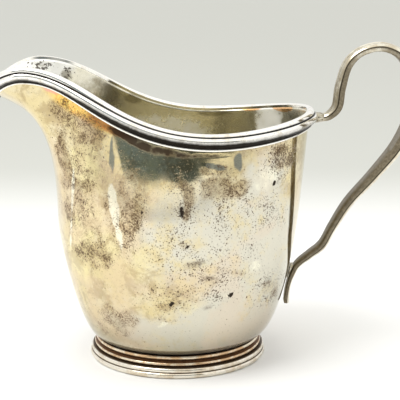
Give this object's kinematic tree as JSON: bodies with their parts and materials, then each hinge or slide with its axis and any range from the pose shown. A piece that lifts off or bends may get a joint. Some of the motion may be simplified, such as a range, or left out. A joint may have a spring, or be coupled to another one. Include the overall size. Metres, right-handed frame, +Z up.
{
  "type": "silver cream jug",
  "caption": "Footed silver cream jug with a broad drooping pouring lip, a reeded rim moulding and a high looped handle.",
  "frame": {"origin": "centre of the object's box at the surface that the foot stands on", "axes": "+Z up, +X towards the handle, -X towards the pouring lip, +Y across the jug"},
  "size_m": [0.1346, 0.0724, 0.0982],
  "materials": {
    "body_silver": "worn silver with golden and brown tarnish",
    "moulding_silver": "rubbed bright silver, tarnish in the grooves",
    "handle_silver": "worn silver, dull on the inner face",
    "solder": "dull grey silver solder"
  },
  "bodies": {
    "root": {"body": "body_silver", "rim_moulding": "moulding_silver", "foot_collar": "moulding_silver", "foot_border": "moulding_silver", "handle": "handle_silver", "upper_joint_solder": "solder", "lower_joint_solder": "solder"}
  },
  "joints": []
}
